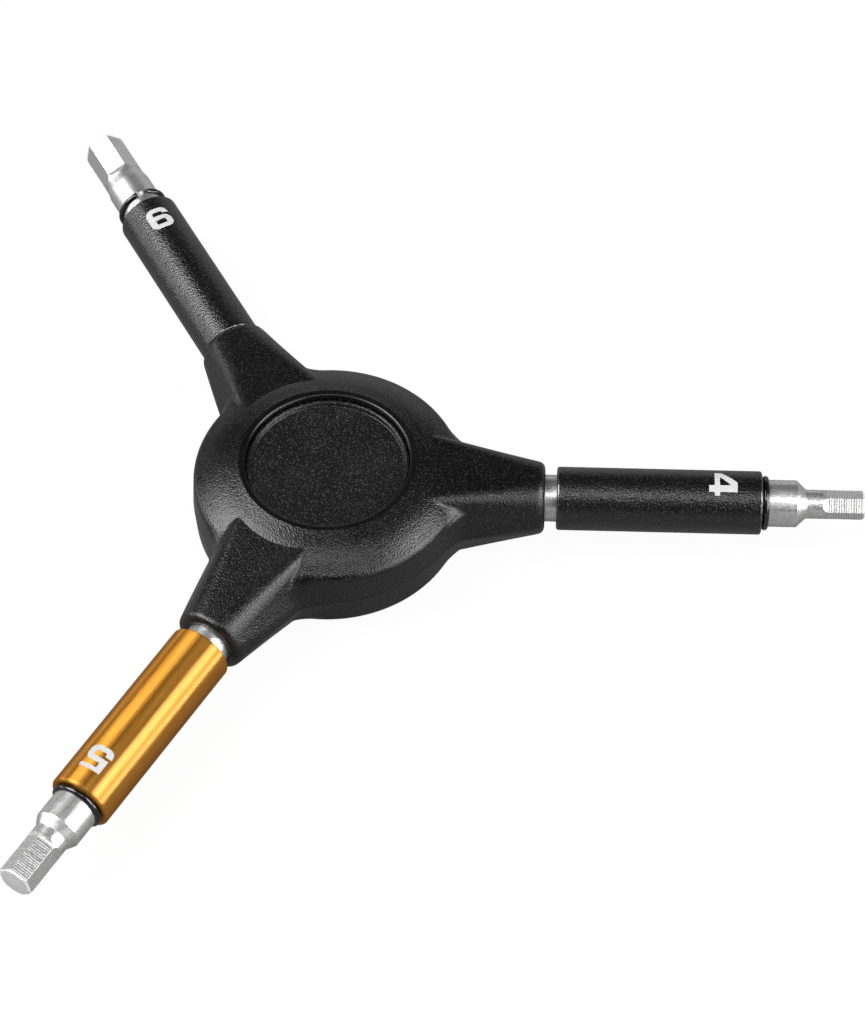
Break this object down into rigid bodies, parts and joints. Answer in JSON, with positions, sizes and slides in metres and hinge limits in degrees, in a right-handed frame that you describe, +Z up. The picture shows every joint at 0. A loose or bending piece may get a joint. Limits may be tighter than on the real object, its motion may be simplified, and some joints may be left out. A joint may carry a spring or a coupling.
{
  "type": "y wrench",
  "caption": "Y-shaped hex key wrench: a moulded hub with steel arms set at equal angles, each with a milled hex bit and a hand sleeve that spins and slides a little.",
  "frame": {"origin": "centre of the hub's flat underside", "axes": "+Z up out of the hub, towards the disc; +X along the 4 mm arm; the 6 mm arm at 120 degrees and the 5 mm arm at 240 degrees about +Z"},
  "size_m": [0.1293, 0.149, 0.0172],
  "materials": {
    "hub_nylon": "moulded black nylon with a fine leathery grain",
    "disc_nylon": "black, fine spark-eroded grain",
    "plated_steel": "satin plated, with fine cutter marks across the hex flats",
    "spring_wire": "oiled black spring wire",
    "black_coat": "black coating with a fine sand texture",
    "gold_anodised": "gold anodised, turned and brushed lengthwise",
    "liner_acetal": "natural acetal",
    "screw_steel": "zinc plated"
  },
  "bodies": {
    "hub": {"upper_shell": "hub_nylon", "lower_shell": "hub_nylon", "centre_disc": "disc_nylon", "shell_screws": "screw_steel", "shank_4mm": "plated_steel", "shank_5mm": "plated_steel", "shank_6mm": "plated_steel", "retaining_ring_4mm": "spring_wire", "retaining_ring_5mm": "spring_wire", "retaining_ring_6mm": "spring_wire"},
    "sliding_liner_4mm": {"sleeve_liner_4mm": "liner_acetal"},
    "spinning_sleeve_4mm": {"sleeve_4mm": "black_coat"},
    "sliding_liner_5mm": {"sleeve_liner_5mm": "liner_acetal"},
    "spinning_sleeve_5mm": {"sleeve_5mm": "gold_anodised"},
    "sliding_liner_6mm": {"sleeve_liner_6mm": "liner_acetal"},
    "spinning_sleeve_6mm": {"sleeve_6mm": "black_coat"}
  },
  "joints": [
    {"name": "sleeve_slide_4mm", "type": "slide", "parent": "hub", "child": "sliding_liner_4mm", "axis": [1, 0, 0], "range_m": [-0.0018, 0]},
    {"name": "sleeve_spin_4mm", "type": "hinge", "parent": "sliding_liner_4mm", "child": "spinning_sleeve_4mm", "pos_m": [0.05205, 0, 0.0086], "axis": [1, 0, 0], "continuous": true},
    {"name": "sleeve_slide_5mm", "type": "slide", "parent": "hub", "child": "sliding_liner_5mm", "axis": [-0.5, -0.866, 0], "range_m": [-0.0018, 0]},
    {"name": "sleeve_spin_5mm", "type": "hinge", "parent": "sliding_liner_5mm", "child": "spinning_sleeve_5mm", "pos_m": [-0.02602, -0.04508, 0.0086], "axis": [-0.5, -0.866, 0], "continuous": true},
    {"name": "sleeve_slide_6mm", "type": "slide", "parent": "hub", "child": "sliding_liner_6mm", "axis": [-0.5, 0.866, 0], "range_m": [0, 0.0018]},
    {"name": "sleeve_spin_6mm", "type": "hinge", "parent": "sliding_liner_6mm", "child": "spinning_sleeve_6mm", "pos_m": [-0.02513, 0.04352, 0.0086], "axis": [-0.5, 0.866, 0], "continuous": true}
  ]
}
